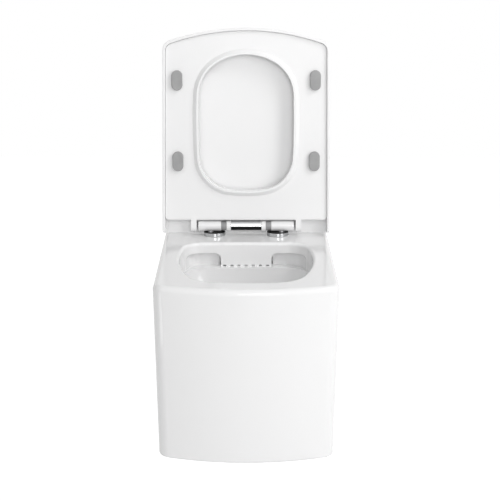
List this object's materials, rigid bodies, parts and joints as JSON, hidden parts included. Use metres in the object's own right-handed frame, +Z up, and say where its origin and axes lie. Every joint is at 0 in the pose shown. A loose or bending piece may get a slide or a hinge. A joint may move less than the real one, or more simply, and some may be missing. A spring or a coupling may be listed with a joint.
{
  "type": "wall hung toilet",
  "caption": "Rimless wall hung toilet pan of glazed ceramic with a soft-close seat and lid, which are raised, on a quick-release hinge.",
  "frame": {"origin": "midpoint of the two wall stud holes, on the wall plane", "axes": "+Y into the wall, +Z up, +X to the right of a person who faces the wall"},
  "size_m": [0.363, 0.4895, 0.7927],
  "materials": {
    "glazed_ceramic": "white glaze",
    "white_duroplast": "glossy white",
    "white_plastic": "glossy white",
    "grey_rubber": "matte grey",
    "clear_rubber": "translucent",
    "grey_plastic": "matte grey",
    "black_plastic": "satin black",
    "chrome": "polished chrome",
    "steel": "plain steel",
    "black_rubber": "matte black"
  },
  "bodies": {
    "pan": {"ceramic_pan": "glazed_ceramic", "fixing_sleeve_left": "white_plastic", "fixing_washer_left": "steel", "fixing_nut_left": "steel", "base_gasket_left": "black_rubber", "hinge_base_left": "chrome", "hinge_post_left": "steel", "expansion_plug_left": "black_rubber", "plug_nut_left": "steel", "hinge_barrel_left": "white_plastic", "lid_damper_left": "grey_plastic", "seat_damper_left": "grey_plastic", "fixing_sleeve_right": "white_plastic", "fixing_washer_right": "steel", "fixing_nut_right": "steel", "base_gasket_right": "black_rubber", "hinge_base_right": "chrome", "hinge_post_right": "steel", "expansion_plug_right": "black_rubber", "plug_nut_right": "steel", "hinge_barrel_right": "white_plastic", "lid_damper_right": "grey_plastic", "seat_damper_right": "grey_plastic"},
    "seat": {"seat": "white_duroplast", "seat_rotor_left": "black_plastic", "seat_buffer_front_left": "grey_rubber", "seat_buffer_rear_left": "grey_rubber", "seat_rotor_right": "black_plastic", "seat_buffer_front_right": "grey_rubber", "seat_buffer_rear_right": "grey_rubber"},
    "lid": {"lid": "white_duroplast", "release_housing": "black_plastic", "latch_spring": "steel", "lid_rotor_left": "black_plastic", "lid_buffer_front_left": "clear_rubber", "lid_buffer_rear_left": "clear_rubber", "lid_rotor_right": "black_plastic", "lid_buffer_front_right": "clear_rubber", "lid_buffer_rear_right": "clear_rubber"},
    "release_button": {"release_button": "chrome"},
    "latch_left": {"latch_rod_left": "steel"},
    "latch_right": {"latch_rod_right": "steel"}
  },
  "joints": [
    {"name": "seat_hinge", "type": "hinge", "parent": "pan", "child": "seat", "pos_m": [0, -0.068, 0.1005], "axis": [1, 0, 0], "range_deg": [0, 93]},
    {"name": "lid_hinge", "type": "hinge", "parent": "pan", "child": "lid", "pos_m": [0, -0.068, 0.1005], "axis": [1, 0, 0], "range_deg": [0, 93]},
    {"name": "button_press", "type": "slide", "parent": "lid", "child": "release_button", "axis": [0, -0.0523, -0.9986], "range_m": [0, 0.0035], "stiffness_N_per_m": 400, "springref_m": -0.005},
    {"name": "latch_left_draw", "type": "slide", "parent": "lid", "child": "latch_left", "axis": [1, 0, 0], "range_m": [0, 0.0035], "deforming": ["latch_spring"]},
    {"name": "latch_right_draw", "type": "slide", "parent": "lid", "child": "latch_right", "axis": [-1, 0, 0], "range_m": [0, 0.0035]}
  ],
  "couplings": [
    {"joint": "lid_hinge", "follows": "seat_hinge", "ratio": 1},
    {"joint": "latch_left_draw", "follows": "button_press", "ratio": 1},
    {"joint": "latch_right_draw", "follows": "button_press", "ratio": 1}
  ]
}
